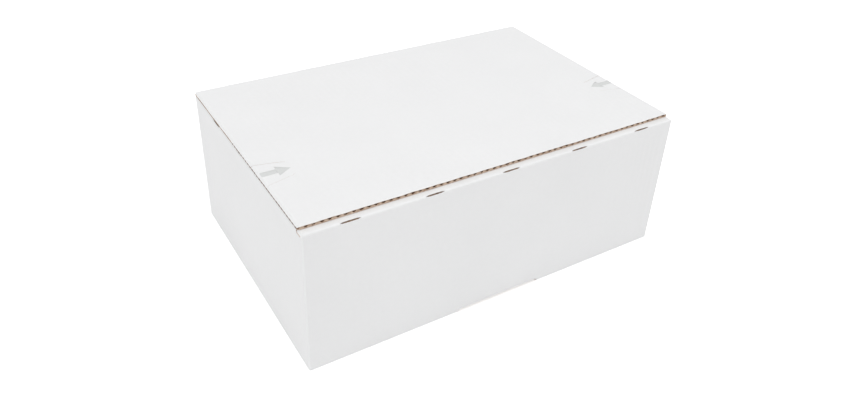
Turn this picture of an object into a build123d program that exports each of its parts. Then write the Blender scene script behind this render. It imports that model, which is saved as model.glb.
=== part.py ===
from build123d import *
import math
import os

# Shipping box folded from one blank of single wall corrugated board, lengths in millimetres.
# The frame stands at the middle of the bottom, with the front wall facing -Y and up along +Z.
# The blank is white outside and brown inside. Its flutes run up the walls, and so front to back
# in the lid, the front flap and the front and back bottom panels.

os.makedirs("parts", exist_ok=True)

# Closed box
box_width = 380.0
box_depth = 253.0
box_height = 143.0

# Board
board = 3.0
liner = 0.3
medium = 0.3
flute_pitch = 6.55
flute_open_depth = 12.0  # how far the flutes are hollow behind a flap's free edge
fold_radius = 1.8
ply_gap = 0.2  # between layers that only lie on each other
over = 5.0  # how far a cutting form runs past what it cuts

# Lid
lid_setback = 7.0  # front wall to the lid's front edge
lid_corner = 2.5
crushed_run = 5.0  # board pressed flat beside the lid's fold
tongue_from_front = 85.0
tongue_edge_width = 34.5
tongue_root_width = 21.5
tongue_depth = 27.0
tongue_cut = 0.3

# Printed arrow on each tongue
ink = 0.1
arrow_length = 26.5
arrow_shaft = 6.2
arrow_head_length = 12.0
arrow_head_width = 14.5
arrow_edge_gap = 1.2

# Short cuts that let the folds bend
slit_length = 17.5
slit_width = 1.4
slit_pitch = 75.0
slit_count = 5
rear_side_slit_from_front = 191.0
rear_side_slit_length = 16.0
rear_side_slit_width = 1.9
mid_side_slit_from_front = 133.0
mid_side_slit_length = 9.0

# Front flap, the first layer under the lid
front_flap_depth = 64.0
flap_root_depth = 9.5  # as far as it is as wide as the box
flap_taper = 12.0
flap_corner = 9.0

# Dust flaps, folded in from the side walls under the front flap
dust_flap_length = 84.0
dust_taper = 7.0
dust_corner = 12.0
fold_land = 5.0  # level stretch beside a side fold
step_run = 14.0  # sloped stretch down to the next layer
step_radius = 12.0
slot_rear_from_front = 107.5
slot_front_from_front = 66.0
slot_depth = 26.0
slot_corner = 3.0

# Bottom panels
bottom_seam = 1.0  # between the front and back panels
end_clearance = 2.0  # from the ends of those panels to the side panels' slopes
side_panel_length = 126.0
panel_taper = 9.0
panel_corner = 14.0

# Recess in the lower edge of the front wall
notch_width = 89.0
notch_rise = 3.4
notch_reach = 8.0  # back from the front face, through the wall and into the bottom panel

# Glued seam inside the back of the right wall
tab_width = 34.0
tab_taper = 11.0
tab_bottom_clearance = 8.0
tab_top_clearance = 13.0

# Worked out places
x_side = box_width / 2
y_front = -box_depth / 2
y_back = box_depth / 2
lid_under = box_height - board
flap_top = lid_under - ply_gap  # top face of the front flap and of the side folds
y_crease = y_back - board  # inner line of the lid's fold
x_wall = x_side - board  # inner face of a side wall
y_wall = y_back - board  # inner face of the back wall
y_root = y_front + flap_root_depth
step_drop = board + ply_gap
x_step = x_side - fold_land - step_run  # where a side flap has reached its own layer
flute_count = round(box_width / flute_pitch)
flute = box_width / flute_count  # pitch that fills the width with whole flutes
front_flap_flutes = int(2 * (x_step - end_clearance - flap_taper - flap_corner) / flute)
dust_flap_flutes = int((y_wall - y_root - 2 * (ply_gap + dust_taper + dust_corner)) / flute)
foot_share = 0.9  # of half a pitch, from a crest to the foot of the hollow under it
crest_shares = (-0.62, -0.36, -0.14, 0.14, 0.36, 0.62)
flap_crest_shares = (-0.55, -0.2, 0.2, 0.55)  # plainer, for edges that the lid covers
slit_places = [(place - (slit_count - 1) / 2) * slit_pitch for place in range(slit_count)]


def cut_band(start, end, width):
    """Outline of a straight cut of this width from one point to another."""
    first = Vector(*start)
    last = Vector(*end)
    along = (last - first).normalized()
    across = Vector(-along.Y, along.X) * (width / 2)
    return [first + across, last + across, last - across, first - across]


def fold_cut(inner, outer, width):
    """Outline of a cut through a fold, from inside its inner corner to past its outer one."""
    along = (Vector(*outer) - Vector(*inner)).normalized()
    return cut_band(Vector(*inner) - along * width, Vector(*outer) + along * over, width)


def flute_hollow(shares):
    """Outline of the hollow under one crest of the wavy medium, open to the liner below it."""
    half_wave = (board - 2 * liner - medium) / 2
    floor = -(board / 2 - liner)
    points = [(-foot_share * flute / 2, floor)]
    for share in shares:
        turn = math.pi * share
        slope = half_wave * 2 * math.pi / flute * math.sin(turn)
        under = half_wave * math.cos(turn) - medium / 2 * math.hypot(1, slope)
        points.append((share * flute / 2, under))
    points.append((foot_share * flute / 2, floor))
    return points


def turned_over(points):
    """The same outline upside down, for the hollows over the valleys of the medium."""
    return [(x, -z) for x, z in points]


# Outer form: what every fold on the outside of the body is rounded to
with BuildPart() as outer_form:
    with BuildSketch(Plane.YZ):
        Polygon(
            (y_front, 0),
            (y_back, 0),
            (y_back, box_height),
            (y_crease, lid_under),
            (y_crease, flap_top),
            (y_front, flap_top),
        )
    extrude(amount=x_side, both=True)
    upright = edges().filter_by(Axis.Z)
    corners = upright.group_by(Axis.Y)[0] + upright.group_by(Axis.Y)[-1].sort_by(Axis.X)[:1]
    front_fold = edges().filter_by(Axis.X).group_by(Axis.Y)[0].sort_by(Axis.Z)[-1]
    fillet(corners + edges().group_by(Axis.Z)[0] + [front_fold], fold_radius)
    # The lid's fold is rounded too, and the lid has the other half of that round
    with BuildSketch(Plane.YZ):
        with Locations((y_back, box_height)):
            Rectangle(fold_radius, fold_radius, align=(Align.MAX, Align.MAX))
        with Locations((y_back - fold_radius, box_height - fold_radius)):
            Circle(fold_radius, mode=Mode.SUBTRACT)
    extrude(amount=x_side, both=True, mode=Mode.SUBTRACT)

# Left dust flap: level beside its fold, then a step down under the front flap
with BuildPart() as left_dust_flap:
    with BuildSketch(Plane.XZ):
        with BuildLine():
            FilletPolyline(
                (-x_side, flap_top),
                (-x_side + fold_land, flap_top),
                (-x_step, flap_top - step_drop),
                (-x_side + dust_flap_length, flap_top - step_drop),
                radius=step_radius,
            )
            offset(amount=board, side=Side.RIGHT)
        make_face()
    extrude(amount=box_depth, both=True)
    with BuildSketch():
        with BuildLine():
            Polyline(
                (-x_side, y_root + ply_gap),
                (-x_side + dust_flap_length, y_root + ply_gap + dust_taper),
                (-x_side + dust_flap_length, y_wall - ply_gap - dust_taper),
                (-x_side, y_wall - ply_gap),
                close=True,
            )
        make_face()
        fillet(vertices().group_by(Axis.X)[-1], dust_corner)
    extrude(amount=box_height, mode=Mode.INTERSECT)
    # Opening that the lid's tongue is pushed down into
    slot_length = slot_rear_from_front - slot_front_from_front
    slot_middle = y_front + (slot_rear_from_front + slot_front_from_front) / 2
    with BuildSketch():
        with Locations((-x_wall, slot_middle)):
            Rectangle(slot_depth, slot_length, align=(Align.MIN, Align.CENTER))
        fillet(vertices().group_by(Axis.X)[-1], slot_corner)
    extrude(amount=box_height, mode=Mode.SUBTRACT)

# Left bottom panel: rises from its fold onto the front and back panels
with BuildPart() as left_bottom_panel:
    with BuildSketch(Plane.XZ):
        with BuildLine():
            FilletPolyline(
                (-x_side, 0),
                (-x_side + fold_land, 0),
                (-x_step, board),
                (-x_side + side_panel_length, board),
                radius=step_radius,
            )
            offset(amount=board, side=Side.LEFT)
        make_face()
    extrude(amount=box_depth, both=True)
    with BuildSketch():
        with BuildLine():
            Polyline(
                (-x_side, -y_wall + ply_gap),
                (-x_side + side_panel_length, -y_wall + ply_gap + panel_taper),
                (-x_side + side_panel_length, y_wall - ply_gap - panel_taper),
                (-x_side, y_wall - ply_gap),
                close=True,
            )
        make_face()
        fillet(vertices().group_by(Axis.X)[-1], panel_corner)
    extrude(amount=box_height, mode=Mode.INTERSECT)

# Box body: everything of the folded blank that stays still
with BuildPart() as box_body:
    # Walls
    with BuildSketch():
        Rectangle(box_width, box_depth)
        Rectangle(2 * x_wall, 2 * y_wall, mode=Mode.SUBTRACT)
    extrude(amount=box_height)
    # Front and back bottom panels, which meet at the middle
    panel_reach = y_wall - bottom_seam / 2
    with BuildSketch():
        for side in (-1, 1):
            with Locations((0, side * (bottom_seam + panel_reach) / 2)):
                Rectangle(2 * (x_step - end_clearance), panel_reach)
    extrude(amount=board)
    # Front flap: full width where it shows, narrower under the lid
    with BuildSketch(Plane.XY.offset(flap_top)):
        with Locations((0, y_root - flap_root_depth / 2)):
            Rectangle(box_width, flap_root_depth)
        with BuildLine():
            Polyline(
                (-x_step + end_clearance, y_front),
                (x_step - end_clearance, y_front),
                (x_step - end_clearance, y_root),
                (x_step - end_clearance - flap_taper, y_front + front_flap_depth),
                (-x_step + end_clearance + flap_taper, y_front + front_flap_depth),
                (-x_step + end_clearance, y_root),
                close=True,
            )
        make_face()
        fillet(vertices().group_by(Axis.Y)[-1], flap_corner)
    extrude(amount=-board)
    # Side walls are lower where the front flap's ends lie on them
    with BuildSketch(Plane.XY.offset(flap_top - board - ply_gap)):
        for side in (-1, 1):
            with Locations((side * x_side, (y_front + board + y_root + ply_gap) / 2)):
                Rectangle(2 * board, flap_root_depth - board + ply_gap)
    extrude(amount=ply_gap, mode=Mode.SUBTRACT)
    with BuildSketch(Plane.XY.offset(flap_top - board)):
        for side in (-1, 1):
            with Locations((side * x_side, y_root + ply_gap / 2)):
                Rectangle(2 * board, ply_gap)
    extrude(amount=board + over, mode=Mode.SUBTRACT)
    # Side flaps and side bottom panels
    add(left_dust_flap.part)
    add(left_dust_flap.part.mirror(Plane.YZ))
    add(left_bottom_panel.part)
    add(left_bottom_panel.part.mirror(Plane.YZ))
    add(outer_form.part, mode=Mode.INTERSECT)
    # Outside round of the side walls' top folds
    with BuildSketch(Plane.XZ.offset(-y_root - ply_gap)):
        for side in (-1, 1):
            with Locations((side * (x_side - fold_radius / 2), flap_top - fold_radius / 2)):
                Rectangle(fold_radius, fold_radius)
            with Locations((side * (x_side - fold_radius), flap_top - fold_radius)):
                Circle(fold_radius, mode=Mode.SUBTRACT)
    extrude(amount=-box_depth, mode=Mode.SUBTRACT)
    # Cuts through the front fold: the board beside a cut keeps its square corner
    with BuildSketch(*[Plane.YZ.offset(place) for place in slit_places]):
        with Locations((y_front, flap_top)):
            Rectangle(fold_radius, fold_radius, align=(Align.MIN, Align.MAX))
    extrude(amount=slit_length / 2, both=True)
    with BuildSketch(*[Plane.YZ.offset(place) for place in slit_places]):
        Polygon(*fold_cut((y_front + board, flap_top - board), (y_front, flap_top), slit_width))
    extrude(amount=slit_length / 2, both=True, mode=Mode.SUBTRACT)
    # The same cuts through the lid's fold, of which this is the back wall's half
    with BuildSketch(*[Plane.YZ.offset(place) for place in slit_places]):
        Polygon((y_crease, lid_under), (y_back, box_height), (y_back, lid_under - fold_radius))
    extrude(amount=slit_length / 2, both=True)
    with BuildSketch(*[Plane.YZ.offset(place) for place in slit_places]):
        Polygon(*fold_cut((y_crease, lid_under), (y_back, box_height), slit_width))
    extrude(amount=slit_length / 2, both=True, mode=Mode.SUBTRACT)
    # Cuts through the side walls' top folds
    for from_front, length, width in (
        (rear_side_slit_from_front, rear_side_slit_length, rear_side_slit_width),
        (mid_side_slit_from_front, mid_side_slit_length, slit_width),
    ):
        for side in (-1, 1):
            with BuildSketch(Plane.XZ.offset(-y_front - from_front)):
                with Locations((side * (x_side - fold_radius / 2), flap_top - fold_radius / 2)):
                    Rectangle(fold_radius, fold_radius)
            extrude(amount=length / 2, both=True)
            with BuildSketch(Plane.XZ.offset(-y_front - from_front)):
                inner = (side * x_wall, flap_top - board)
                Polygon(*fold_cut(inner, (side * x_side, flap_top), width))
            extrude(amount=length / 2, both=True, mode=Mode.SUBTRACT)
    # Recess in the lower edge of the front wall, with an S curve at each end
    notch_curve = notch_rise / 2
    with BuildSketch(Plane.XZ.offset(-y_front)):
        with BuildLine():
            foot = JernArc((-notch_width / 2 - notch_curve, 0), (1, 0), notch_curve, 90)
            shoulder = JernArc(foot @ 1, (0, 1), notch_curve, -90)
            Line(shoulder @ 1, (0, notch_rise))
            Polyline(foot @ 0, foot @ 0 - (0, over), (0, -over))
            mirror(about=Plane.YZ)
        make_face()
    extrude(amount=-notch_reach, mode=Mode.SUBTRACT)
    # Glued seam: the back wall ends in a fold whose tab is glued inside the right wall
    with BuildSketch():
        with Locations((x_wall, y_back)):
            Rectangle(fold_radius, fold_radius, align=(Align.MAX, Align.MAX))
        with Locations((x_wall - fold_radius, y_back - fold_radius)):
            Circle(fold_radius, mode=Mode.SUBTRACT)
    extrude(amount=box_height, mode=Mode.SUBTRACT)
    with BuildSketch(Plane.XY.offset(flap_top)):
        with Locations((x_wall, y_wall)):
            Rectangle(board, board, align=(Align.MIN, Align.MIN))
    extrude(amount=board + over, mode=Mode.SUBTRACT)
    with BuildSketch(Plane.YZ.offset(x_wall)):
        with BuildLine():
            tab_low = 2 * board + tab_bottom_clearance
            tab_high = box_height - tab_top_clearance
            Polyline(
                (y_wall, tab_low),
                (y_wall, tab_high),
                (y_wall - tab_width, tab_high - tab_taper),
                (y_wall - tab_width, tab_low + tab_taper),
                close=True,
            )
        make_face()
    extrude(amount=-board)
    # Flutes open along the free edges of the front flap and the dust flaps
    with BuildSketch(Plane.XZ.offset(-y_front - front_flap_depth)):
        with Locations((0, flap_top - board / 2)):
            with GridLocations(flute, 0, front_flap_flutes, 1):
                Polygon(*flute_hollow(flap_crest_shares))
            with GridLocations(flute, 0, front_flap_flutes + 1, 1):
                Polygon(*turned_over(flute_hollow(flap_crest_shares)))
    extrude(amount=flute_open_depth, mode=Mode.SUBTRACT)
    for side in (-1, 1):
        with BuildSketch(Plane.YZ.offset(side * (x_side - dust_flap_length))):
            with Locations(((y_root + y_wall) / 2, flap_top - step_drop - board / 2)):
                with GridLocations(flute, 0, dust_flap_flutes, 1):
                    Polygon(*flute_hollow(flap_crest_shares))
                with GridLocations(flute, 0, dust_flap_flutes + 1, 1):
                    Polygon(*turned_over(flute_hollow(flap_crest_shares)))
        extrude(amount=side * flute_open_depth, mode=Mode.SUBTRACT)

box_body.part.label = "box_body"
export_step(box_body.part, "parts/box_body.step")

# Printed arrows, flush with the lid's top: where to push the tongues in
tongue_y = y_front + tongue_from_front
with BuildPart() as arrow_print_left:
    with BuildSketch(Plane.XY.offset(box_height - ink)):
        with BuildLine():
            tail = -x_side + arrow_edge_gap
            head = tail + arrow_length - arrow_head_length
            Polyline(
                (tail, tongue_y - arrow_shaft / 2),
                (head, tongue_y - arrow_shaft / 2),
                (head, tongue_y - arrow_head_width / 2),
                (tail + arrow_length, tongue_y),
                (head, tongue_y + arrow_head_width / 2),
                (head, tongue_y + arrow_shaft / 2),
                (tail, tongue_y + arrow_shaft / 2),
                close=True,
            )
        make_face()
    extrude(amount=ink)

with BuildPart() as arrow_print_right:
    add(arrow_print_left.part.mirror(Plane.YZ))

arrow_print_left.part.label = "arrow_print_left"
export_step(arrow_print_left.part, "parts/arrow_print_left.step")
arrow_print_right.part.label = "arrow_print_right"
export_step(arrow_print_right.part, "parts/arrow_print_right.step")

# Lid: carries on from the back wall and lies on the front flap and the side folds
with BuildPart() as lid:
    lid_front = y_front + lid_setback
    # Fluted board, its hollows open along the front edge
    with BuildSketch(Plane.XZ.offset(-lid_front)):
        with Locations((0, lid_under + board / 2)):
            Rectangle(box_width, board)
            with GridLocations(flute, 0, flute_count, 1):
                Polygon(*flute_hollow(crest_shares), mode=Mode.SUBTRACT)
            with GridLocations(flute, 0, flute_count + 1, 1):
                Polygon(*turned_over(flute_hollow(crest_shares)), mode=Mode.SUBTRACT)
    extrude(amount=-(y_crease - crushed_run - lid_front))
    # Board pressed flat beside the fold, and the lid's half of the fold
    with BuildSketch(Plane.YZ):
        with BuildLine():
            Polyline(
                (y_crease - crushed_run, lid_under),
                (y_crease - ply_gap, lid_under),
                (y_back - ply_gap, box_height),
                (y_crease - crushed_run, box_height),
                close=True,
            )
        make_face()
        with BuildLine():
            Polyline(
                (y_back - fold_radius, box_height),
                (y_back, box_height),
                (y_back, box_height - fold_radius),
            )
            RadiusArc(
                (y_back, box_height - fold_radius),
                (y_back - fold_radius, box_height),
                -fold_radius,
            )
        make_face(mode=Mode.SUBTRACT)
    extrude(amount=box_width / 2, both=True)
    with BuildSketch(*[Plane.YZ.offset(place) for place in slit_places]):
        Polygon(
            (y_crease - ply_gap, lid_under),
            (y_back - ply_gap, box_height),
            (y_crease - crushed_run, box_height),
        )
    extrude(amount=slit_length / 2, both=True)
    with BuildSketch(*[Plane.YZ.offset(place) for place in slit_places]):
        Polygon(*fold_cut((y_crease, lid_under), (y_back, box_height), slit_width))
    extrude(amount=slit_length / 2, both=True, mode=Mode.SUBTRACT)
    # Rounded front corners
    with BuildSketch(Plane.XY.offset(lid_under)):
        for side in (-1, 1):
            with Locations((side * (x_side - lid_corner / 2), lid_front + lid_corner / 2)):
                Rectangle(lid_corner, lid_corner)
            with Locations((side * (x_side - lid_corner), lid_front + lid_corner)):
                Circle(lid_corner, mode=Mode.SUBTRACT)
    extrude(amount=board, mode=Mode.SUBTRACT)
    # Two cuts free each tongue, which narrows inwards to its crease
    tongue_slope = (tongue_edge_width - tongue_root_width) / 2 / tongue_depth
    edge_half = tongue_edge_width / 2 + tongue_slope * over
    with BuildSketch(Plane.XY.offset(lid_under)):
        for side in (-1, 1):
            for end in (-1, 1):
                start = (side * (x_side + over), tongue_y + end * edge_half)
                root = (side * (x_side - tongue_depth), tongue_y + end * tongue_root_width / 2)
                Polygon(*cut_band(start, root, tongue_cut))
    extrude(amount=board, mode=Mode.SUBTRACT)
    add(arrow_print_left.part, mode=Mode.SUBTRACT)
    add(arrow_print_right.part, mode=Mode.SUBTRACT)

lid.part.label = "lid"
export_step(lid.part, "parts/lid.step")
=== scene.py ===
import bpy
import bmesh
import math
from mathutils import Matrix, Vector, noise


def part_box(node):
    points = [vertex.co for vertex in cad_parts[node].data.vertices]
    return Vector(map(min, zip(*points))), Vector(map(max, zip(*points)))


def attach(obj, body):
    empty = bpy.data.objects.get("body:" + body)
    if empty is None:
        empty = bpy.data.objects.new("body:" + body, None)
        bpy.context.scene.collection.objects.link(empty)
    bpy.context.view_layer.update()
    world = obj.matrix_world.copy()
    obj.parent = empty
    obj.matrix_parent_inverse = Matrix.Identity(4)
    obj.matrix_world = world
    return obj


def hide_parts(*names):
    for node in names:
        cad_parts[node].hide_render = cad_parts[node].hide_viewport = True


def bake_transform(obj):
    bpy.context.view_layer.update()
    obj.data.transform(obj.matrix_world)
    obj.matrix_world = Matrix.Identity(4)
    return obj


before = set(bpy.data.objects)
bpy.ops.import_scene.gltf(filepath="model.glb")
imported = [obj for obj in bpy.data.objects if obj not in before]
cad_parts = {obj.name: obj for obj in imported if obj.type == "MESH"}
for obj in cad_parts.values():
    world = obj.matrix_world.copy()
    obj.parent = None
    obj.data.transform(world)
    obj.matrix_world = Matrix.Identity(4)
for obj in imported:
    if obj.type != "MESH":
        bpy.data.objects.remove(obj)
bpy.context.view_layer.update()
bodyLow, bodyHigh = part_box("box_body")
lidLow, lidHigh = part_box("lid")
mm = 0.001

# the board that the whole box is folded from
board = {
    "thick": 3.0 * mm,
    "liner": 0.3 * mm,
    "medium": 0.28 * mm,
    "flutes": 58,  # across the lid
    "flute": 380 / 58 * mm,
    "fold": 1.8 * mm,  # outside radius of a fold
}


# materials: every one is made from noise and ramps, in object coordinates

def newMaterial(name):
    mat = bpy.data.materials.new(name)
    mat.use_nodes = True
    tree = mat.node_tree
    tree.nodes.clear()
    out = tree.nodes.new("ShaderNodeOutputMaterial")
    shader = tree.nodes.new("ShaderNodeBsdfPrincipled")
    tree.links.new(shader.outputs[0], out.inputs[0])
    coords = tree.nodes.new("ShaderNodeTexCoord")
    return mat, tree, shader, coords.outputs["Object"]


def addNoise(tree, place, scale, detail=3.0, stretch=(1, 1, 1)):
    mapping = tree.nodes.new("ShaderNodeMapping")
    mapping.inputs["Scale"].default_value = stretch
    tree.links.new(place, mapping.inputs["Vector"])
    tex = tree.nodes.new("ShaderNodeTexNoise")
    tex.inputs["Scale"].default_value = scale
    tex.inputs["Detail"].default_value = detail
    tree.links.new(mapping.outputs[0], tex.inputs["Vector"])
    return tex.outputs["Fac"]


def addRamp(tree, value, low, high, start=0.3, end=0.7):
    ramp = tree.nodes.new("ShaderNodeValToRGB")
    for element, spot, colour in zip(ramp.color_ramp.elements, (start, end), (low, high)):
        element.position = spot
        element.color = (*colour, 1)
    tree.links.new(value, ramp.inputs[0])
    return ramp.outputs["Color"]


def addMath(tree, operation, *values):
    node = tree.nodes.new("ShaderNodeMath")
    node.operation = operation
    for socket, value in zip(node.inputs, values):
        if isinstance(value, (int, float)):
            socket.default_value = value
        else:
            tree.links.new(value, socket)
    return node.outputs[0]


def mixNoise(tree, fine, coarse, share):
    return addMath(tree, "MULTIPLY_ADD", fine, share, addMath(tree, "MULTIPLY", coarse, 1 - share))


def addBump(tree, shader, height, distance, under=None):
    bump = tree.nodes.new("ShaderNodeBump")
    bump.inputs["Distance"].default_value = distance
    tree.links.new(height, bump.inputs["Height"])
    if under:
        tree.links.new(under, bump.inputs["Normal"])
    tree.links.new(bump.outputs[0], shader.inputs["Normal"])
    return bump.outputs[0]


def addWaves(tree, place, axis, pitch=board["flute"]):
    parts = tree.nodes.new("ShaderNodeSeparateXYZ")
    tree.links.new(place, parts.inputs[0])
    turn = addMath(tree, "MULTIPLY", parts.outputs[axis], 2 * math.pi / pitch)
    return addMath(tree, "SINE", turn)


whiteFace = {
    "low": (0.862, 0.864, 0.868),
    "high": (0.888, 0.890, 0.894),
    "roughness": 0.62,
    "specular": 0.3,
    "cloudScale": 14.0,  # slow clouds, some 70 mm across
    "formScale": 260.0,  # the paper's own formation, about 4 mm
    "formShare": 0.45,
    "fibreScale": 950.0,
    "fibreBump": 0.02 * mm,
    "swellScale": 8.0,  # the board isn't quite flat
    "swellBump": 0.25 * mm,
    "washBump": 0.012 * mm,
}


def makeWhite(name, axis=None):
    p = whiteFace
    mat, tree, shader, place = newMaterial(name)
    cloud = addNoise(tree, place, p["cloudScale"], 3.0)
    form = addNoise(tree, place, p["formScale"], 4.0)
    mixed = mixNoise(tree, form, cloud, p["formShare"])
    tree.links.new(addRamp(tree, mixed, p["low"], p["high"]), shader.inputs["Base Color"])
    shader.inputs["Roughness"].default_value = p["roughness"]
    shader.inputs["Specular IOR Level"].default_value = p["specular"]
    relief = addBump(tree, shader, addNoise(tree, place, p["swellScale"], 1.0), p["swellBump"])
    if axis:  # the flutes telegraph faintly through the liner
        relief = addBump(tree, shader, addWaves(tree, place, axis), p["washBump"], relief)
    addBump(tree, shader, addNoise(tree, place, p["fibreScale"], 3.0), p["fibreBump"], relief)
    return mat


kraftFace = {
    "low": (0.36, 0.235, 0.14),
    "high": (0.50, 0.345, 0.22),
    "roughness": 0.85,
    "specular": 0.2,
    "cloudScale": 24.0,
    "fibreScale": 430.0,
    "fibreShare": 0.6,
    "stretch": 0.22,  # fibres lie along the flutes
    "fibreBump": 0.06 * mm,
    "washBump": 0.035 * mm,
}


def makeKraft(name, axis):
    p = kraftFace
    mat, tree, shader, place = newMaterial(name)
    thin = p["stretch"]
    along = (1, thin, thin) if axis == "X" else (thin, 1, thin)
    fibre = addNoise(tree, place, p["fibreScale"], 4.0, along)
    cloud = addNoise(tree, place, p["cloudScale"], 4.0)
    mixed = mixNoise(tree, fibre, cloud, p["fibreShare"])
    tree.links.new(addRamp(tree, mixed, p["low"], p["high"]), shader.inputs["Base Color"])
    shader.inputs["Roughness"].default_value = p["roughness"]
    shader.inputs["Specular IOR Level"].default_value = p["specular"]
    relief = addBump(tree, shader, addWaves(tree, place, axis), p["washBump"])
    addBump(tree, shader, fibre, p["fibreBump"], relief)
    return mat


cutFace = {
    "low": (0.35, 0.22, 0.15),
    "high": (0.76, 0.62, 0.50),
    "patch": 300.0,  # dark and light stretches, some 3 mm long
    "ramp": (0.30, 0.70),
    "scale": 1500.0,
    "bump": 0.08 * mm,
}

raggedAndShadeFace = {  # the lid's side edges towards the front, in dashes: white liner, and dark stretches that are painted shade for the open flutes
    "low": (0.10, 0.04, 0.025),
    "high": (0.87, 0.80, 0.75),
    "patch": 250.0,
    "teeth": 5.2 * mm,  # the knife drags the white liner down between its teeth, and the open flutes left between get painted shade
    "bite": 0.3,
    "ramp": (0.42, 0.58),
    "scale": 1500.0,
    "bump": 0.1 * mm,
}

tornFace = {
    "low": (0.13, 0.085, 0.06),
    "high": (0.36, 0.25, 0.18),
    "patch": 500.0,
    "ramp": (0.38, 0.62),
    "scale": 1300.0,
    "bump": 0.12 * mm,
}

flutingAndShadeFace = {  # the medium is a darker paper than the liners, and this colour is darker still as painted shade for the flute hollows
    "low": (0.18, 0.08, 0.045),
    "high": (0.30, 0.15, 0.09),
    "patch": 120.0,
    "ramp": (0.38, 0.62),
    "scale": 700.0,
    "bump": 0.04 * mm,
}


rawPaper = {  # what all the cut and torn papers share
    "patchShare": 0.6,
    "roughness": 0.95,
    "specular": 0.15,
}


def makeFibrous(name, p):
    mat, tree, shader, place = newMaterial(name)
    fibre = addNoise(tree, place, p["scale"], 4.0)
    patch = addNoise(tree, place, p["patch"], 2.0)
    mixed = mixNoise(tree, patch, fibre, rawPaper["patchShare"])
    # light and dark dashes along the edge: the dark ones are painted shade of open flutes
    if "teeth" in p:
        teeth = addWaves(tree, place, "Y", p["teeth"])
        mixed = addMath(tree, "MULTIPLY_ADD", teeth, p["bite"], mixed)
    tree.links.new(addRamp(tree, mixed, p["low"], p["high"], *p["ramp"]), shader.inputs["Base Color"])
    shader.inputs["Roughness"].default_value = rawPaper["roughness"]
    shader.inputs["Specular IOR Level"].default_value = rawPaper["specular"]
    addBump(tree, shader, fibre, p["bump"])
    return mat


inkFace = {
    "low": (0.675, 0.685, 0.680),
    "high": (0.720, 0.730, 0.725),
    "speckle": 1300.0,
    "roughness": 0.6,
    "specular": 0.3,
}


def makeInk():
    p = inkFace
    mat, tree, shader, place = newMaterial("arrow_ink")
    speckle = addNoise(tree, place, p["speckle"], 2.0)
    tree.links.new(addRamp(tree, speckle, p["low"], p["high"]), shader.inputs["Base Color"])
    shader.inputs["Roughness"].default_value = p["roughness"]
    shader.inputs["Specular IOR Level"].default_value = p["specular"]
    return mat


white = makeWhite("white_liner")
whiteX, whiteY = makeWhite("white_liner_front", "X"), makeWhite("white_liner_side", "Y")
kraftX, kraftY = makeKraft("kraft_liner_front", "X"), makeKraft("kraft_liner_side", "Y")
cut, torn = makeFibrous("cut_edge", cutFace), makeFibrous("torn_core", tornFace)
ragged_and_shade, fluting_and_shade = makeFibrous("ragged_edge_and_shade", raggedAndShadeFace), makeFibrous("fluting_and_shade", flutingAndShadeFace)
ink = makeInk()
print("materials made")


# mesh helpers

def smooth(t):
    t = min(max(t, 0.0), 1.0)
    return t * t * (3 - 2 * t)


def steps(low, high, count):
    return [low + (high - low) * i / count for i in range(count + 1)]


def addPiece(name, mesh):
    piece = bpy.data.objects.new(name, mesh)
    bpy.context.scene.collection.objects.link(piece)
    return piece


def closedSheet(name, us, vs, over, under, mats):
    # a grid of points over, the same under and a rim between, each with its material
    verts = [side(u, v) for side in (over, under) for v in vs for u in us]
    wide, deep = len(us), len(vs)
    below = wide * deep
    faces, kinds = [], []
    for j in range(deep - 1):
        for i in range(wide - 1):
            a = j * wide + i
            b, c, d = a + 1, a + wide + 1, a + wide
            faces += [(a, b, c, d), (d + below, c + below, b + below, a + below)]
            kinds += [0, 1]
    ring = list(range(wide))
    ring += [j * wide + wide - 1 for j in range(1, deep)]
    ring += [(deep - 1) * wide + i for i in range(wide - 2, -1, -1)]
    ring += [j * wide for j in range(deep - 2, 0, -1)]
    for a, b in zip(ring, ring[1:] + ring[:1]):
        faces.append((a, a + below, b + below, b))
        kinds.append(2)
    mesh = bpy.data.meshes.new(name)
    mesh.from_pydata(verts, [], faces)
    used = list(dict.fromkeys(mats))  # a boolean drops slots that hold the same material
    for mat in used:
        mesh.materials.append(mat)
    for face, kind in zip(mesh.polygons, kinds):
        face.material_index = used.index(mats[kind])
        face.use_smooth = kind < 2
    work = bmesh.new()
    work.from_mesh(mesh)
    bmesh.ops.recalc_face_normals(work, faces=work.faces)
    work.to_mesh(mesh)
    work.free()
    return addPiece(name, mesh)


def joined(name, pieces):
    work = bmesh.new()
    for piece in pieces:
        work.from_mesh(piece.data)
    mesh = bpy.data.meshes.new(name)
    work.to_mesh(mesh)
    work.free()
    for mat in pieces[0].data.materials:
        mesh.materials.append(mat)
    for piece in pieces:
        bpy.data.objects.remove(piece)
    return addPiece(name, mesh)


def mergeFlats(piece):
    # faces in one plane become one, so that they shade evenly
    work = bmesh.new()
    work.from_mesh(piece.data)
    limit = math.radians(0.3)
    bmesh.ops.dissolve_limit(
        work,
        angle_limit=limit,
        verts=work.verts,
        edges=work.edges,
        delimit={"MATERIAL"},
    )
    work.to_mesh(piece.data)
    work.free()


def evenShading(piece, angle=35):
    # large faces stay flat to the eye and rounds stay round
    work = bmesh.new()
    work.from_mesh(piece.data)
    for face in work.faces:
        face.smooth = True
    for edge in work.edges:
        edge.smooth = len(edge.link_faces) == 2 and edge.calc_face_angle() < math.radians(angle)
    work.to_mesh(piece.data)
    work.free()
    even = piece.modifiers.new("even_shading", "WEIGHTED_NORMAL")
    even.keep_sharp = True


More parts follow.
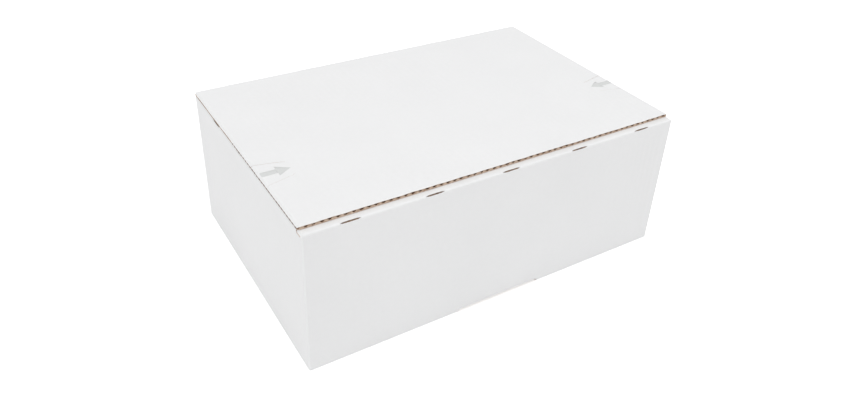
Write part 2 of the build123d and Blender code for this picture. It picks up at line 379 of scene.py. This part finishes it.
def copyNode(node, name, planes, keepFrom=None):
    # the CAD mesh again, welded, and cut along planes so that it can be bent there
    work = bmesh.new()
    work.from_mesh(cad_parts[node].data)
    weld = 0.0005 * mm
    bmesh.ops.remove_doubles(work, verts=work.verts, dist=weld)
    bmesh.ops.dissolve_degenerate(work, edges=work.edges, dist=weld)
    if keepFrom is not None:
        found = bmesh.ops.bisect_plane(
            work,
            geom=work.verts[:] + work.edges[:] + work.faces[:],
            plane_co=(0, keepFrom, 0),
            plane_no=(0, 1, 0),
            clear_inner=True,
        )
        rim = [part for part in found["geom_cut"] if isinstance(part, bmesh.types.BMEdge)]
        bmesh.ops.holes_fill(work, edges=rim)
    for x in planes:
        bmesh.ops.bisect_plane(
            work,
            geom=work.verts[:] + work.edges[:] + work.faces[:],
            plane_co=(x, 0, 0),
            plane_no=(1, 0, 0),
        )
    bmesh.ops.recalc_face_normals(work, faces=work.faces)
    mesh = bpy.data.meshes.new(name)
    work.to_mesh(mesh)
    work.free()
    return addPiece(name, mesh)


def paint(piece, mats, look):
    piece.data.materials.clear()
    for mat in mats:
        piece.data.materials.append(mat)
    for face in piece.data.polygons:
        face.material_index = look(face.center, face.normal)


# the cutting rule presses the board's side edges together
press = {
    "drop": 1.6 * mm,
    "run": 1.8 * mm,
    "uneven": 0.3,
    "scale": (90, 230),
    "most": 0.7,  # caps the unevenness, so that the board keeps its own thickness of paper
    "planes": [side * (190 - s) * mm for side in (-1, 1) for s in (0.3, 0.7, 1.1, 1.5, 1.8)],
}


def pressed(x, y):
    share = 1 - smooth((lidHigh.x - abs(x)) / press["run"])
    alongX, alongY = press["scale"]
    rough = min(noise.noise(Vector((x * alongX, y * alongY, 3.1))), press["most"])
    return press["drop"] * (1 + press["uneven"] * rough) * share


# body: walls, flaps and bottom panels, told apart by where their faces lie

body = {
    "upper": 130.0 * mm,  # above here lie the flaps
    "flapTop": 139.8 * mm,
    "flapUnder": 136.8 * mm,
    "flapRoot": -116.9 * mm,  # the front flap is as wide as the box up to here
    "flapEnd": -125.2 * mm,  # its cut ends start here, past the fold
    "flapWide": 170.0 * mm,  # half its width beyond its root
    "flapPress": 1.3,  # its ends are pressed flatter than the lid's sides
    "sideRound": 1.6 * mm,  # how far the outside faces reach inwards round their folds
    "frontRound": 2.0 * mm,
    "foldFrom": 123.0 * mm,  # the back wall's top, where the lid's fold starts
    "outer": 4.0 * mm,
    "inner": 2.8 * mm,
    "recess": 48.0 * mm,  # half the width of the recess in the front wall's lower edge
    "panelEnd": 169.5 * mm,  # half the length of the front and back bottom panels
    "panelTop": 3.1 * mm,
    "panelGap": 0.6 * mm,  # the two panels' ends lie within this of the middle
    "sidePanel": (168.0 * mm, 3.5 * mm),  # where and up to what height the side panels show below
    "insideX": (183.5 * mm, 187.2 * mm),  # between these lie the inside faces of the walls
    "insideY": (123.2 * mm, 123.7 * mm),
    "insideTop": 139.5 * mm,
    "seam": (183.6 * mm, 187.05 * mm),
    "seamFrom": 123.1 * mm,
    "slack": 0.2 * mm,
    "square": 0.9,  # from here down, how straight a face looks at an axis
    "level": 0.85,
    "crease": 0.7,
    "half": 0.5,
    "slight": 0.3,
    "barely": 0.05,
}


def bodySide(centre, normal):
    # 0 outside face, 1 inside face, 2 cut edge
    p = body
    x, y, z = centre
    towardX = normal.x * math.copysign(1, x)
    towardY = normal.y * math.copysign(1, y)
    upper = z > p["upper"]
    hangs = upper and normal.z < -p["slight"]
    seamX = bodyHigh.x - board["thick"] + p["slack"]
    seamY = bodyHigh.y - board["thick"] - p["slack"]
    if x > seamX and y > seamY and (normal.y > p["square"] or (upper and abs(normal.x) < p["half"])):
        return 2
    flapEnd = p["flapEnd"] < y < p["flapRoot"] and z > p["flapUnder"]
    if towardX > p["square"] and upper and (flapEnd or (y > p["foldFrom"] and z > p["flapTop"])):
        return 2
    if towardX > p["half"] and abs(x) > bodyHigh.x - p["sideRound"] and not hangs:
        return 0
    if towardY > p["half"] and abs(y) > bodyHigh.y - p["frontRound"] and not hangs:
        return 0
    if normal.x > p["barely"] and p["seam"][0] < x < p["seam"][1] and y > p["seamFrom"]:
        return 0
    if upper and normal.z > (p["level"] if y > 0 else p["crease"]):
        return 0
    sideFrom, sideTop = p["sidePanel"]
    if normal.z < -p["level"] and (z < 0.05 * mm or (abs(x) > sideFrom and z < sideTop)):
        return 0
    outer = abs(x) > bodyHigh.x - p["outer"] or abs(y) > bodyHigh.y - p["outer"]
    recess = abs(x) < p["recess"] and y < 0
    if z < board["fold"] and normal.z < -p["slight"] and outer and not recess:
        return 0
    inner = abs(x) < bodyHigh.x - p["inner"] and abs(y) < bodyHigh.y - p["inner"]
    if inner and upper and normal.z < -p["level"]:
        return 1
    if inner and not upper and normal.z > p["level"]:
        return 1
    low, high = p["insideX"]
    if abs(normal.x) > p["square"] and low < abs(x) < high and z < p["insideTop"]:
        return 1
    low, high = p["insideY"]
    if abs(normal.y) > p["square"] and low < abs(y) < high:
        return 1
    return 2


def fluteLines(centre, normal):
    # 0 where the flutes cross x, 1 where they cross y
    p = body
    x, y, z = centre
    if abs(normal.y) > p["half"]:
        return 0
    if abs(normal.x) > p["half"]:
        return 1
    if z > p["upper"]:
        flap = z > p["flapTop"] - 0.1 * mm or abs(z - p["flapUnder"]) < 0.1 * mm
        return 0 if flap and (abs(x) < p["flapWide"] or y < p["flapRoot"]) else 1
    panel = abs(x) < p["panelEnd"] and z < p["panelTop"]
    return 0 if panel and normal.z * (z - board["thick"] / 2) > 0 else 1


def bodyLook(centre, normal):
    side = bodySide(centre, normal)
    return 4 if side == 2 else 2 * side + fluteLines(centre, normal)


def makeBody():
    piece = copyNode("box_body", "board_body", press["planes"])
    for vert in piece.data.vertices:
        x, y, z = vert.co
        if y < body["flapRoot"] and z > body["flapUnder"]:
            vert.co.z = z - body["flapPress"] * pressed(x, y) * (z - body["flapUnder"]) / board["thick"]
        elif y > body["foldFrom"] and z > body["flapTop"]:
            vert.co.z = z - pressed(x, y) * (z - body["flapTop"]) / board["thick"]
        elif z < body["panelTop"] and abs(y) < body["panelGap"]:
            vert.co.y = math.copysign(0.01 * mm, y)  # the bottom panels meet
    paint(piece, (whiteX, whiteY, kraftX, kraftY, cut), bodyLook)
    mergeFlats(piece)
    evenShading(piece)
    return piece


shell = makeBody()
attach(shell, "box")
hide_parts("box_body")
print("body made", len(shell.data.polygons))


# lid: top liner, wavy medium and under liner, then the solid end at the fold

lid = {
    "sheetsEnd": 118.7 * mm,  # from here on the board is pressed flat for the fold
    "corner": 2.5 * mm,
    "skim": 0.04 * mm,  # the top liner lies this far inside the CAD box
    "frontDrop": 0.3 * mm,
    "frontRun": 1.6 * mm,
    "frontUneven": 1.3,
    "frontScale": (110, 90),
    "washboard": 0.03 * mm,
    "fade": (110 * mm, 8 * mm),  # where the washboard starts to fade towards the fold, and over how much
    "lean": 0.12,  # of a flute, how far the cut end of the medium is pushed over
    "leanScale": 140,
    "crush": 0.22,  # how much wider the medium's crests are than its troughs at the cut end
    "crushRun": 4 * mm,
    "steep": 2.4,  # the medium's sides are straighter than a sine's
    "burr": {"top": 0.0, "medium": 0.6, "under": 0.3},  # how much thicker the cut front edge is
    "burrRun": 0.9 * mm,
    "smear": 0.95,  # how far up to the medium's crests the knife drags the under liner
    "setBack": 0.06 * mm,  # the medium's cut end lies behind the liners'
    "cornerBurr": 0.2,  # the knife closes the last flutes at the corners
    "cornerRun": (174 * mm, 8 * mm),
    "tongueY": -41.5 * mm,
    "tongueEdge": 17.25 * mm,
    "tongueRoot": 10.75 * mm,
    "tongueDepth": 27.0 * mm,
    "raggedAndShadeFrom": 25 * mm,
    "cut": 0.22 * mm,
    "frontCut": 0.1 * mm,
    "cutPast": 4 * mm,  # how far the cuts run on outside the lid
    "frontRows": [0, 0.25 * mm, 0.6 * mm, 1.1 * mm, 1.7 * mm, 2.6 * mm, 4 * mm],
    "rowsFrom": 9 * mm,
    "rows": 26,
    "linerSteps": 8,  # in each flute
    "mediumSteps": 16,
}


def washboard(x, y, sign):
    start, run = lid["fade"]
    fade = 1 - smooth((y - start) / run)
    return lid["washboard"] * (0.5 + sign * 0.5 * math.cos(2 * math.pi * x / board["flute"])) * fade


def burr(sheet, x, y):
    start, run = lid["cornerRun"]
    size = lid["burr"][sheet] + lid["cornerBurr"] * smooth((abs(x) - start) / run)
    return 1 + size * (1 - smooth((y - lidLow.y) / lid["burrRun"]))


def lidTop(x, y):
    alongX, alongY = lid["frontScale"]
    rough = noise.noise(Vector((x * alongX, y * alongY, 7.7)))
    share = 1 - smooth((y - lidLow.y) / lid["frontRun"])
    front = lid["frontDrop"] * (1 + lid["frontUneven"] * rough) * share
    return lidHigh.z - lid["skim"] - washboard(x, y, -1) - max(pressed(x, y), front, 0)


def lidUnder(x, y):
    return lidLow.z + washboard(x, y, 1)


def mediumHalf(x, y):
    return board["medium"] / 2 * burr("medium", x, y)


def mediumMiddle(x, y):
    end = 1 - smooth((y - lidLow.y) / lid["crushRun"])
    loose = lid["lean"] * noise.noise(Vector((x * lid["leanScale"], 0.4, 9.0))) * end
    half = mediumHalf(x, y)
    low = lidUnder(x, y) + board["liner"] * burr("under", x, y) + half
    high = max(lidTop(x, y) - board["liner"] * burr("top", x, y) - half, low)
    wave = -0.5 * math.cos(2 * math.pi * (x / board["flute"] + loose))
    crush = lid["crush"] * end
    trough, spot, crest = (math.tanh(lid["steep"] * (w + crush)) for w in (-0.5, wave, 0.5))
    return low + (high - low) * (spot - trough) / (crest - trough)


def underInside(x, y):
    base = lidUnder(x, y) + board["liner"] * burr("under", x, y)
    room = mediumMiddle(x, y) - mediumHalf(x, y) - base
    return base + lid["smear"] * room * (1 - smooth((y - lidLow.y) / lid["burrRun"]))


def lidSpot(x, v):
    # v runs from the front edge, which is rounded at its corners, to the fold
    past = abs(x) - (lidHigh.x - lid["corner"])
    front = lidLow.y
    if past > 0:
        front += lid["corner"] - math.sqrt(max(lid["corner"] ** 2 - past ** 2, 0))
    return x, front + v * (lid["sheetsEnd"] - front)


def level(sheet, height, offset=0.0):
    back = lid["setBack"] if sheet == "medium" else 0

    def point(u, v):
        x, y = lidSpot(u, v)
        return x, y + back * (1 - v), height(x, y) + offset * burr(sheet, x, y)
    return point


def tongueKnife():
    # four thin blades, one for each cut
    p = lid
    verts, faces = [], []
    slope = (p["tongueEdge"] - p["tongueRoot"]) / p["tongueDepth"]
    past = p["cutPast"]
    shape = ((3, 2, 1, 0), (4, 5, 6, 7), (0, 1, 5, 4), (1, 2, 6, 5), (2, 3, 7, 6), (3, 0, 4, 7))
    for side in (-1, 1):
        for end in (-1, 1):
            outerY = p["tongueY"] + end * (p["tongueEdge"] + slope * past)
            outer = Vector((side * (lidHigh.x + past), outerY))
            rootY = p["tongueY"] + end * p["tongueRoot"]
            root = Vector((side * (lidHigh.x - p["tongueDepth"]), rootY))
            along = (root - outer).normalized()
            across = Vector((-along.y, along.x)) * (p["cut"] if end > 0 else p["frontCut"]) / 2
            first = len(verts)
            for z in (lidLow.z - mm, lidHigh.z + mm):
                for corner in (outer + across, outer - across, root - across, root + across):
                    verts.append((corner.x, corner.y, z))
            faces += [tuple(first + i for i in quad) for quad in shape]
    mesh = bpy.data.meshes.new("tongue_cuts")
    mesh.from_pydata(verts, [], faces)
    mesh.materials.append(cut)
    work = bmesh.new()
    work.from_mesh(mesh)
    bmesh.ops.recalc_face_normals(work, faces=work.faces)
    work.to_mesh(mesh)
    work.free()
    return addPiece("tongue_cuts", mesh)


def cutTongues(pieces):
    knife = tongueKnife()
    for piece in pieces:
        cutter = piece.modifiers.new("cuts", "BOOLEAN")
        cutter.operation = "DIFFERENCE"
        cutter.solver = "EXACT"
        cutter.object = knife
        cutter.material_mode = "TRANSFER"
        bpy.context.view_layer.update()
        graph = bpy.context.evaluated_depsgraph_get()
        done = bpy.data.meshes.new_from_object(piece.evaluated_get(graph))
        piece.modifiers.clear()
        piece.data = done
        evenShading(piece)
    bpy.data.objects.remove(knife)


def makeSheets():
    length = lid["sheetsEnd"] - lidLow.y
    rows = [r / length for r in lid["frontRows"] + steps(lid["rowsFrom"], length, lid["rows"])]
    edges = [x for x in press["planes"] if abs(x) < lidHigh.x]
    linerX = sorted(edges + steps(-lidHigh.x, lidHigh.x, board["flutes"] * lid["linerSteps"]))
    waveX = sorted(edges + steps(-lidHigh.x, lidHigh.x, board["flutes"] * lid["mediumSteps"]))
    thin, half = board["liner"], board["medium"] / 2
    over, under = level("top", lidTop), level("top", lidTop, -thin)
    # the top liner's underside gets the dark fluting colour: painted shade in the upper flute hollows
    top = closedSheet("lid_top_liner", linerX, rows, over, under, (white, fluting_and_shade, cut))
    over, under = level("medium", mediumMiddle, half), level("medium", mediumMiddle, -half)
    wave = closedSheet("lid_medium", waveX, rows, over, under, (fluting_and_shade, fluting_and_shade, cut))
    over, under = level("under", underInside), level("under", lidUnder)
    low = closedSheet("lid_under_liner", linerX, rows, over, under, (kraftX, kraftX, cut))
    # the sides' cut edges near the front get the dashed colour, whose dark stretches are painted shade
    # of open flutes
    for sheet in (top, wave, low):
        sheet.data.materials.append(ragged_and_shade)
        for face in sheet.data.polygons:
            atSide = abs(face.center.x) > lidHigh.x - 0.01 * mm
            if atSide and face.center.y < lid["raggedAndShadeFrom"]:
                face.material_index = len(sheet.data.materials) - 1
    cutTongues((top, wave, low))
    return [top, wave, low]


def foldLook(centre, normal):
    # 0 outside face, 1 inside face, 2 cut edge
    if abs(normal.x) > 0.9:
        return 2
    if normal.z > 0.3 and normal.y > -0.3:
        return 0
    return 1


def makeLidEnd():
    piece = copyNode("lid", "lid_fold_end", press["planes"], lid["sheetsEnd"])
    for vert in piece.data.vertices:
        x, y, z = vert.co
        joint = y < lid["sheetsEnd"] + 0.1 * mm and z > lidHigh.z - 0.1 * mm
        meets = lid["skim"] if joint else 0  # level with the top liner
        vert.co.z = z - meets - pressed(x, y) * (z - lidLow.z) / board["thick"]
    paint(piece, (white, kraftX, cut), foldLook)
    mergeFlats(piece)
    evenShading(piece)
    return piece


lidPieces = makeSheets() + [makeLidEnd()]
for piece in lidPieces:
    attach(piece, "lid")
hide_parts("lid")
print("lid made", [len(piece.data.polygons) for piece in lidPieces])


# slits that let the folds bend: torn core inside, frayed liner along the lips

slits = {
    "length": 17.5 * mm,
    "width": 1.4 * mm,
    "depth": 0.5 * mm,
    "rough": 0.16 * mm,
    "open": 0.85,  # share of the width left open by the frayed liner
    "fray": 0.12 * mm,
    "tuck": 0.02 * mm,  # how far its pieces go under the board beside them
    "sink": 0.03 * mm,  # how far the liner's lip lies below the board's face
    "curl": 0.1 * mm,  # how much deeper its torn edge lies
    "coreThick": 0.4 * mm,
    "wild": 0.25,  # how uneven the torn edge is
    "smallest": 0.01 * mm,
    "steps": 28,
    "places": [i * 75.0 * mm for i in (-2, -1, 0, 1, 2)],
    "sides": [  # distance from the front wall, length, width, depth and share left open
        (191.0 * mm, 16.0 * mm, 1.9 * mm, 1.1 * mm, 0.9),
        (133.0 * mm, 9.0 * mm, 1.4 * mm, 0.25 * mm, 0.35),
    ],
}


def slitPieces(name, middle, along, out, length, width, depth, share, halves=(-1, 1)):
    # along runs down the slit, out points away from the fold, across is square to both
    across = along.cross(out).normalized()
    p = slits
    made = []
    us = steps(-length / 2, length / 2, p["steps"])
    seed = middle * 40

    def spot(u, v, height):
        return middle + along * u + across * v + out * height

    def gap(u):
        end = abs(2 * u / length)
        wild = 1 + p["wild"] * noise.noise(Vector((u * 700, 0, 0)) + seed)
        return max(width / 2 * share * (1 - end ** 5) * wild, p["smallest"])

    for half in halves:
        def core(u, v):
            bumpy = noise.noise(Vector((u * 900, v * 1600, 1)) + seed) * p["rough"]
            return spot(u, half * v, bumpy - depth)

        def coreUnder(u, v):
            return spot(u, half * v, -depth - p["coreThick"])

        vs = steps(0, width / 2 + p["tuck"], 4)
        made.append(closedSheet(name, us, vs, core, coreUnder, (torn, torn, torn)))

        def fray(u, v):
            edge = gap(u)
            side = edge + (width / 2 + p["tuck"] - edge) * v
            return spot(u, half * side, -p["sink"] - p["curl"] * (1 - v))

        def frayUnder(u, v):
            return Vector(fray(u, v)) - out * p["fray"]

        made.append(closedSheet(name, us, steps(0, 1, 3), fray, frayUnder, (white, torn, cut)))
    return made


def makeSlits():
    onBox, onLid = [], []
    root = math.sqrt(0.5)
    size = [slits[k] for k in ("length", "width", "depth", "open")]
    lip = slits["width"] / 2 * root  # how far the chord between the lips lies inside the corner
    alongX, alongY = Vector((1, 0, 0)), Vector((0, 1, 0))
    for x in slits["places"]:
        front = Vector((x, bodyLow.y + lip, body["flapTop"] - lip))
        onBox += slitPieces("slit", front, alongX, Vector((0, -root, root)), *size)
        back = Vector((x, bodyHigh.y - lip, lidHigh.z - lip))
        outward = Vector((0, root, root))
        onLid += slitPieces("slit", back, alongX, outward, *size, halves=(-1,))
        onBox += slitPieces("slit", back, alongX, outward, *size, halves=(1,))
    for fromFront, *size in slits["sides"]:
        lip = size[1] / 2 * root
        for side in (-1, 1):
            middle = Vector((side * (bodyHigh.x - lip), bodyLow.y + fromFront, body["flapTop"] - lip))
            onBox += slitPieces("slit", middle, alongY, Vector((side * root, 0, root)), *size)
    return joinSlits("box_slits", onBox), joinSlits("lid_slits", onLid)


def joinSlits(name, pieces):
    return joined(name + "_core", pieces[0::2]), joined(name + "_fray", pieces[1::2])


for made, rider in zip(makeSlits(), ("box", "lid")):
    for piece in made:
        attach(piece, rider)
print("slits made")


# fold skin: the outer liner, bent over the lid's fold

skin = {
    "sink": 0.03 * mm,  # its ends go under the faces beside the fold
    "rise": 0.03 * mm,  # its middle covers the line between body and lid
    "thick": 0.12 * mm,
    "ends": 0.02 * mm,
    "turn": (0.02, 0.98, 12),  # from and to what part of the quarter turn, and in how many steps
    "steps": 8,
}


def makeSkin():
    p = skin
    radius = board["fold"]
    middle = Vector((0, bodyHigh.y - radius, lidHigh.z - radius))
    half = slits["length"] / 2
    stops = [-lidHigh.x + p["ends"]]
    for x in slits["places"]:
        stops += [x - half, x + half]
    stops.append(lidHigh.x - p["ends"])
    strips = []

    def bent(x, turn, offset):
        angle = turn * math.pi / 2
        lift = (p["rise"] + p["sink"]) * math.sin(math.pi * turn) ** 0.5
        reach = radius + offset - p["sink"] + lift
        y, z = middle.y + reach * math.cos(angle), middle.z + reach * math.sin(angle)
        return x, y, z - pressed(x, y) * max(z - lidLow.z, 0) / board["thick"]

    def over(x, turn):
        return bent(x, turn, 0)

    def under(x, turn):
        return bent(x, turn, -p["thick"])

    for start, end in zip(stops[0::2], stops[1::2]):
        xs = sorted([x for x in press["planes"] if start < x < end] + steps(start, end, p["steps"]))
        strips.append(closedSheet("skin", xs, steps(*p["turn"]), over, under, (white, kraftX, cut)))
    piece = joined("fold_skin", strips)
    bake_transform(piece)


makeSkin()
print("fold skin made")


# printed arrows

arrow = {
    "length": 25.9 * mm,
    "shaft": 6.2 * mm,
    "head": 12.0 * mm,
    "headWidth": 14.5 * mm,
    "fromEdge": 1.8 * mm,  # the liner rolls down from here on
    "ink": 0.03 * mm,
    "sharp": 0.02 * mm,  # the least width that the tip is drawn from
    "rows": 6,
    "shaftSteps": 24,
    "headSteps": 20,
}


def makeArrow(name, side):
    p = arrow
    tail = lidHigh.x - p["fromEdge"]
    tip = tail - p["length"]
    base = tip + p["head"]

    def width(u):
        return p["headWidth"] * max(u - tip, p["sharp"]) / p["head"] if u < base else p["shaft"]

    def surface(offset, head):
        def point(u, v):
            y = lid["tongueY"] + v * (width(min(u, base - 1e-9)) if head else p["shaft"]) / 2
            return side * u, y, lidTop(side * u, y) + offset
        return point

    parts = []
    rows = steps(-1, 1, p["rows"])
    shaft, barb = steps(base, tail, p["shaftSteps"]), steps(tip, base, p["headSteps"])
    for us, head in ((shaft, False), (barb, True)):
        over, under = surface(p["ink"], head), surface(-p["ink"], head)
        parts.append(closedSheet(name, us, rows, over, under, (ink, ink, ink)))
    return joined(name, parts)


for side, hand in ((-1, "left"), (1, "right")):
    printed = makeArrow("arrow_ink_" + hand, side)
    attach(printed, "lid")
    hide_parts("arrow_print_" + hand)
print("arrows made")


# room, lamps and camera

room = {
    "floorSize": 30.0,
    "floorColour": (0.88, 0.88, 0.88),
    "floorLift": 0.55,  # what the camera sees over the floor's own light, so that it ends in white
    "world": 0.62,
    "front": {"place": (0.6, -2.6, 1.6), "size": 2.2, "power": 9.5},
    "left": {"place": (-2.6, -0.4, 1.3), "size": 2.2, "power": 13.5},
    "top": {"place": (0.2, -0.3, 2.8), "size": 2.6, "power": 24.7},
}


def addFloor():
    half = room["floorSize"] / 2
    mesh = bpy.data.meshes.new("floor")
    corners = [(-half, -half, 0), (half, -half, 0), (half, half, 0), (-half, half, 0)]
    mesh.from_pydata(corners, [], [(0, 1, 2, 3)])
    floor = addPiece("floor", mesh)
    floor.location.z = bodyLow.z - 0.02 * mm
    mat, tree, shader, place = newMaterial("pale_floor")
    shader.inputs["Base Color"].default_value = (*room["floorColour"], 1)
    shader.inputs["Roughness"].default_value = 0.9
    shader.inputs["Specular IOR Level"].default_value = 0.1
    glow = tree.nodes.new("ShaderNodeEmission")
    ray = tree.nodes.new("ShaderNodeLightPath")
    seen = addMath(tree, "MAXIMUM", ray.outputs["Is Camera Ray"], ray.outputs["Is Glossy Ray"])
    seen = addMath(tree, "MAXIMUM", seen, ray.outputs["Is Transmission Ray"])
    tree.links.new(addMath(tree, "MULTIPLY", seen, room["floorLift"]), glow.inputs["Strength"])
    both = tree.nodes.new("ShaderNodeAddShader")
    tree.links.new(shader.outputs[0], both.inputs[0])
    tree.links.new(glow.outputs[0], both.inputs[1])
    tree.links.new(both.outputs[0], tree.nodes["Material Output"].inputs[0])
    mesh.materials.append(mat)


def addLamp(name):
    p = room[name]
    light = bpy.data.lights.new(name + "_lamp", "AREA")
    light.size = p["size"]
    light.energy = p["power"]
    lamp = bpy.data.objects.new(name + "_lamp", light)
    lamp.location = p["place"]
    lamp.rotation_mode = "QUATERNION"
    lamp.rotation_quaternion = (-Vector(p["place"])).to_track_quat("-Z", "Y")
    bpy.context.scene.collection.objects.link(lamp)


def setWorld():
    world = bpy.data.worlds.new("studio")
    bpy.context.scene.world = world
    world.use_nodes = True
    tree = world.node_tree
    ray = tree.nodes.new("ShaderNodeLightPath")
    seen = addMath(tree, "MAXIMUM", ray.outputs["Is Camera Ray"], ray.outputs["Is Glossy Ray"])
    seen = addMath(tree, "MAXIMUM", seen, ray.outputs["Is Transmission Ray"])
    light = addMath(tree, "MAXIMUM", seen, room["world"])
    tree.nodes["Background"].inputs["Color"].default_value = (1, 1, 1, 1)
    tree.links.new(light, tree.nodes["Background"].inputs["Strength"])


# angles in degrees, lengths in millimetres, picture sizes in pixels
camera = {
    "focal": 773.18,
    "azimuth": -32.64,
    "elevation": 31.83,
    "roll": -2.49,
    "distance": 773.83,
    "aim": (0, 0, 71.5),
    "pan": (2.83, 5.46),
    "middle": (427, 162),
    "frame": (854, 410),
}


def addCamera():
    p = camera
    a, e, r = (math.radians(p[k]) for k in ("azimuth", "elevation", "roll"))
    forward = -Vector((math.sin(a) * math.cos(e), -math.cos(a) * math.cos(e), math.sin(e)))
    right = forward.cross(Vector((0, 0, 1))).normalized()
    down = forward.cross(right)
    across = math.cos(r) * right + math.sin(r) * down
    below = -math.sin(r) * right + math.cos(r) * down
    place = Vector(p["aim"]) - forward * p["distance"] - across * p["pan"][0] - below * p["pan"][1]
    data = bpy.data.cameras.new("camera")
    data.sensor_width = 36.0
    data.lens = p["focal"] * data.sensor_width / p["frame"][0]
    data.shift_x = (p["frame"][0] / 2 - p["middle"][0]) / p["frame"][0]
    data.shift_y = (p["middle"][1] - p["frame"][1] / 2) / p["frame"][0]
    data.clip_start = 0.01
    obj = bpy.data.objects.new("camera", data)
    turn = Matrix((across, -below, -forward)).transposed()
    obj.matrix_world = Matrix.Translation(place * mm) @ turn.to_4x4()
    bpy.context.scene.collection.objects.link(obj)
    bpy.context.scene.camera = obj


addFloor()
for name in ("front", "left", "top"):
    addLamp(name)
setWorld()
addCamera()
bpy.context.scene.view_settings.view_transform = "Standard"
print("room made")
